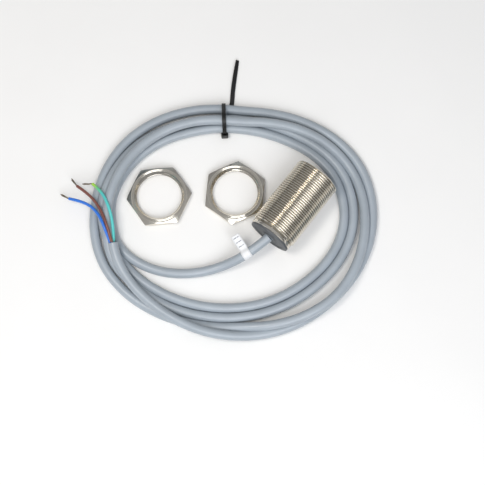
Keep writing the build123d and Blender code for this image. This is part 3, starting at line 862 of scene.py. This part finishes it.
# ---- label ----
class SENSOR_OT_label(Operator):
    """Paper label stuck round the cable, its ends joined as a flag"""

    bl_idname = "sensor.label"
    bl_label = "Label"

    def execute(self, context):
        sizes = context.scene.sensor_label
        middle, along = at_distance(centreline(bpy.data.objects["cable"]), sizes.from_exit)
        toward = Vector((0.0, 1.0, 0.25))
        across = (toward - along * toward.dot(along)).normalized()
        upward = along.cross(across)
        sheet = 0.11 * MM
        radius = CABLE_D / 2 + 0.12 * MM
        flag_curl = 0.5 * MM
        open_angle = radians(24)
        arc_steps, flag_steps, width_steps = 40, 12, 4
        loop = []
        for n in range(arc_steps + 1):
            angle = open_angle + (2 * pi - 2 * open_angle) * n / arc_steps
            loop.append((radius * cos(angle), radius * sin(angle)))
        reach = [radius + sizes.flag * (n + 1) / flag_steps for n in range(flag_steps)]
        curl = [flag_curl * ((x - radius) / sizes.flag) ** 2 for x in reach]
        upper = [(x, lift + sheet) for x, lift in zip(reach, curl)][::-1]
        lower = [(x, lift - sheet) for x, lift in zip(reach, curl)]
        path = upper + loop + lower
        shell = Shell()
        rows = []
        for n in range(width_steps + 1):
            place = middle + along * sizes.width * (n / width_steps - 0.5)
            rows.append([place + across * a + upward * b for a, b in path])
        shell.grid(rows)
        label = mesh_piece("label", shell.points, shell.faces, "label_paper", smooth_angle=50)
        self.map_print(label, middle, along, across, sizes)
        paper_sheet = label.modifiers.new("paper", "SOLIDIFY")
        paper_sheet.thickness = sheet
        paper_sheet.offset = 0.0
        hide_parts("cable_label")
        return {"FINISHED"}

    def map_print(self, label, middle, along, across, sizes):
        """Lay the printed bars across the flag."""
        layer = label.data.uv_layers.new(name="print")
        for loop in label.data.loops:
            offset = label.data.vertices[loop.vertex_index].co - middle
            layer.data[loop.index].uv = (offset.dot(along) / sizes.width, offset.dot(across) / MM)


# ---- cable tie ----
def clipped_box(a, b, clip):
    """Outline of a rectangle with clipped corners, from its half sizes."""
    return [(a, clip - b), (a, b - clip), (a - clip, b), (clip - a, b),
            (-a, b - clip), (-a, clip - b), (clip - a, -b), (a - clip, -b)]


def strap_section(width, thickness):
    return clipped_box(width / 2, thickness / 2, thickness * 0.22)


def smooth_line(points, steps, closed=False):
    """Points along a smooth curve through the given ones."""
    count = len(points)
    if closed:
        ring = [points[(n - 1) % count] for n in range(count + 3)]
        return [between(ring, 1 + n * count / steps) for n in range(steps)]
    return [between(points, n * (count - 1) / steps) for n in range(steps + 1)]


class SENSOR_OT_tie(Operator):
    """Nylon cable tie: loop, locking head and ribbed tail"""

    bl_idname = "sensor.tie"
    bl_label = "Cable tie"

    def execute(self, context):
        sizes = context.scene.sensor_tie
        shell = Shell()
        outward = Vector((cos(sizes.turn), sin(sizes.turn), 0.0))
        sideways = Vector((-sin(sizes.turn), cos(sizes.turn), 0.0))
        corners = [COIL_MIDDLE + outward * r * MM + Vector((0, 0, FLOOR_Z + h * MM)) for r, h in TIE_LOOP]
        loop_steps = 120
        line = smooth_line(corners, loop_steps, closed=True)
        rows = []
        for n, point in enumerate(line):
            ahead = (line[(n + 1) % len(line)] - line[n - 1]).normalized()
            out = ahead.cross(sideways)
            rows.append([point + sideways * a + out * b
                         for a, b in strap_section(sizes.width, sizes.thickness * 0.8)])
        shell.grid(rows, closed_rows=True, closed_columns=True)
        self.add_tail(shell, sizes)
        self.add_head(shell, sizes, outward, sideways)
        tie = mesh_piece("tie", shell.points, shell.faces, "black_nylon", smooth_angle=40)
        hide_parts("cable_tie")
        return {"FINISHED"}

    def add_tail(self, shell, sizes):
        """Tail on the surface: it rolls onto its edge and narrows towards the tip."""
        ground = FLOOR_Z + sizes.thickness * 0.55  # a hair over half the strap's thickness
        points = [Vector((x, y, ground)) for x, y in TAIL_ROUTE]
        steps = 150
        full_roll, roll_from = radians(34), 0.45  # places along the tail are shares of its length
        root_width, taper, taper_from = 1.12, 0.25, 0.8  # widths are shares of the strap's
        rib_high, rib_low = 0.84, 0.72  # shares of its thickness
        line = smooth_line(points, steps)
        rows = []
        for n, point in enumerate(line):
            share = n / steps
            ahead = (line[min(n + 1, steps)] - line[max(n - 1, 0)]).normalized()
            level, upward = side_frame(ahead)
            roll = full_roll * max(0.0, share - roll_from) / (1 - roll_from)
            width = sizes.width * (root_width - taper * max(0.0, share - taper_from) / (1 - taper_from))
            side = level * cos(roll) + upward * sin(roll)
            out = upward * cos(roll) - level * sin(roll)
            rib = rib_low if n % 4 < 2 else rib_high
            lift = upward * (width / 2 * abs(sin(roll)))
            rows.append([point + lift + side * a + out * b
                         for a, b in strap_section(width, sizes.thickness * rib)])
        shell.grid(rows, closed_columns=True)
        for row in (rows[0], rows[-1]):
            shell.fan(row, sum(row, Vector()) / len(row))

    def add_head(self, shell, sizes, outward, sideways):
        """Locking head: a block with rounded edges and the slot that the strap goes through."""
        half = sizes.head / 2
        half_depth = half * 0.64  # it is this much shallower than it is wide
        edge = 0.35 * MM
        slot_depth, slot_width = 0.65 * MM, 1.45 * MM  # half of each
        middle = COIL_MIDDLE + outward * TIE_HEAD_AT * MM + Vector((0, 0, FLOOR_Z + half))

        def ring(half_a, half_b, height):
            return [middle + outward * a + sideways * b + Vector((0, 0, height))
                    for a, b in clipped_box(half_a, half_b, edge)]

        rows = [
            ring(half_depth - edge, half - edge, -half),
            ring(half_depth, half, edge - half),
            ring(half_depth, half, half - edge),
            ring(half_depth - edge, half - edge, half),
            ring(slot_depth, slot_width, half),
            ring(slot_depth, slot_width, -half),
        ]
        shell.grid(rows, closed_rows=True, closed_columns=True)


# ---- CAD pieces that keep their shape ----
class SENSOR_OT_finishes(Operator):
    """Give every CAD piece the material of its slot"""

    bl_idname = "sensor.finishes"
    bl_label = "Finishes"

    def execute(self, context):
        scene = context.scene
        for slot, material in make_materials(scene.sensor_finish).items():
            scene["slot_" + slot] = material.name
        slots = {part["node"]: part["material_slot"] for part in frame["record"]["subparts"]}
        for node, piece in frame["nodes"].items():
            piece.data.materials.clear()
            piece.data.materials.append(slot_material(slots[node]))
        return {"FINISHED"}


class SENSOR_OT_declare_cable(Operator):
    """Work out the cable's length along its own line; the result is not kept"""

    bl_idname = "sensor.declare_cable"
    bl_label = "Declare cable"

    def execute(self, context):
        cable = bpy.data.objects["cable"]
        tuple(LEAD_ROUTE[0])
        line_length(centreline(cable))
        return {"FINISHED"}


# ---- stage ----
CAMERA_PLACE = Vector((-0.19539, -0.10354, 0.78545))
CAMERA_AIM = Vector((-0.06004, 0.01297, -0.01500))
CAMERA_TOP_BEARING = 37.91  # degrees from +X: the way along the floor that is up in the camera's view
CAMERA_LENS = 96.83  # mm, for the sensor width below
CAMERA_SENSOR = 36.0
KEY_SIZE, FILL_SIZE = 0.26, 0.65
HORIZON_SHARE, TOP_SHARE = 0.55, 1.3  # strength of the surroundings low down and overhead


def area_light(name, place, aim, size, power, colour):
    """Soft square light that points from one place at another."""
    light = bpy.data.lights.new(name, "AREA")
    light.shape = "SQUARE"
    light.size = size
    light.energy = power
    light.color = linear(colour)[:3]
    lamp = bpy.data.objects.new(name, light)
    lamp.location = place
    lamp.rotation_euler = (Vector(aim) - Vector(place)).to_track_quat("-Z", "Y").to_euler()
    bpy.context.scene.collection.objects.link(lamp)
    return lamp


class SENSOR_OT_camera(Operator):
    """Camera above and in front of the sensor, looking down"""

    bl_idname = "sensor.camera"
    bl_label = "Camera"

    def execute(self, context):
        forward = (CAMERA_AIM - CAMERA_PLACE).normalized()
        bearing = radians(CAMERA_TOP_BEARING)
        right = forward.cross(Vector((cos(bearing), sin(bearing), 0.0))).normalized()
        upward = right.cross(forward)
        lens = bpy.data.cameras.new("camera")
        lens.lens = CAMERA_LENS
        lens.sensor_width = CAMERA_SENSOR
        camera = bpy.data.objects.new("camera", lens)
        turn = Matrix((right, upward, -forward)).transposed()
        camera.matrix_world = Matrix.Translation(CAMERA_PLACE) @ turn.to_4x4()
        context.scene.collection.objects.link(camera)
        context.scene.camera = camera
        return {"FINISHED"}


class SENSOR_OT_stage(Operator):
    """Plain pale floor, soft studio lights and bright surroundings"""

    bl_idname = "sensor.stage"
    bl_label = "Stage"

    def execute(self, context):
        settings = context.scene.sensor_stage
        middle = (CAD_BOX[0] + CAD_BOX[1]) / 2
        aim = (middle.x, middle.y, FLOOR_Z)
        floor_reach = 3.0
        mesh = bpy.data.meshes.new("floor")
        corners = [(middle.x + a * floor_reach, middle.y + b * floor_reach, FLOOR_Z)
                   for a, b in ((-1, -1), (1, -1), (1, 1), (-1, 1))]
        mesh.from_pydata(corners, [], [(0, 1, 2, 3)])
        floor = bpy.data.objects.new("floor", mesh)
        context.scene.collection.objects.link(floor)
        material, tree, shader = new_material("floor_paper_matt", Roughness=0.8)
        varied_colour(tree, shader, context.scene.sensor_finish.floor, 60 * MM, 0.01)
        mesh.materials.append(material)
        floor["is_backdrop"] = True

        # Each light's place from the object's middle is chosen so that the nuts' flat tops don't mirror it.
        area_light("key", (middle.x - 0.24, middle.y + 0.20, 0.84), aim, KEY_SIZE, settings.key_power,
                   "#fffaf2")
        area_light("fill", (middle.x - 0.40, middle.y - 0.46, 0.70), aim, FILL_SIZE, settings.fill_power,
                   "#f7faff")
        world = bpy.data.worlds.new("studio")
        world.use_nodes = True
        sky = world.node_tree.nodes["Background"]
        sky.inputs["Color"].default_value = linear("#f4f6fa")
        # The surroundings are dimmer towards the horizon, which gives round metal its dark edges.
        heading = add(world.node_tree, "ShaderNodeTexCoord").outputs["Generated"]
        upward = add(world.node_tree, "ShaderNodeSeparateXYZ", {"Vector": heading}).outputs["Z"]
        glow = add(world.node_tree, "ShaderNodeMapRange", {
            "Value": upward, "From Min": 0.02, "From Max": 0.75,
            "To Min": settings.world * HORIZON_SHARE, "To Max": settings.world * TOP_SHARE})
        world.node_tree.links.new(glow.outputs["Result"], sky.inputs["Strength"])
        context.scene.world = world
        context.scene.view_settings.view_transform = "Standard"
        return {"FINISHED"}


STEPS = [
    SENSOR_OT_camera,
    SENSOR_OT_finishes,
    SENSOR_OT_cable,
    SENSOR_OT_conductors,
    SENSOR_OT_label,
    SENSOR_OT_tie,
    SENSOR_OT_declare_cable,
    SENSOR_OT_barrel,
    SENSOR_OT_rear_plug,
    SENSOR_OT_nuts,
    SENSOR_OT_stage,
]


class SENSOR_PT_panel(Panel):
    """Sizes, colours and building steps of the sensor"""

    bl_idname = "SENSOR_PT_panel"
    bl_label = "Proximity sensor"
    bl_space_type = "VIEW_3D"
    bl_region_type = "UI"
    bl_category = "Sensor"

    def draw(self, context):
        for attribute, group in GROUPS.items():
            box = self.layout.box()
            for name in group.__annotations__:
                box.prop(getattr(context.scene, attribute), name)
        for step in STEPS:
            self.layout.operator(step.bl_idname)


def register():
    for attribute, group in GROUPS.items():
        bpy.utils.register_class(group)
        setattr(bpy.types.Scene, attribute, PointerProperty(type=group))
    for step in STEPS:
        bpy.utils.register_class(step)
    bpy.utils.register_class(SENSOR_PT_panel)


def unregister():
    bpy.utils.unregister_class(SENSOR_PT_panel)
    for step in reversed(STEPS):
        bpy.utils.unregister_class(step)
    for attribute, group in GROUPS.items():
        delattr(bpy.types.Scene, attribute)
        bpy.utils.unregister_class(group)


def main():
    register()
    for step in STEPS:
        prefix, name = step.bl_idname.split(".")
        getattr(getattr(bpy.ops, prefix), name)()
    bpy.context.view_layer.update()
    boxes = {"cad_box": CAD_BOX, "visual_box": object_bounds()}
    {name: [list(low), list(high)] for name, (low, high) in boxes.items()}


if __name__ == "__main__":
    main()
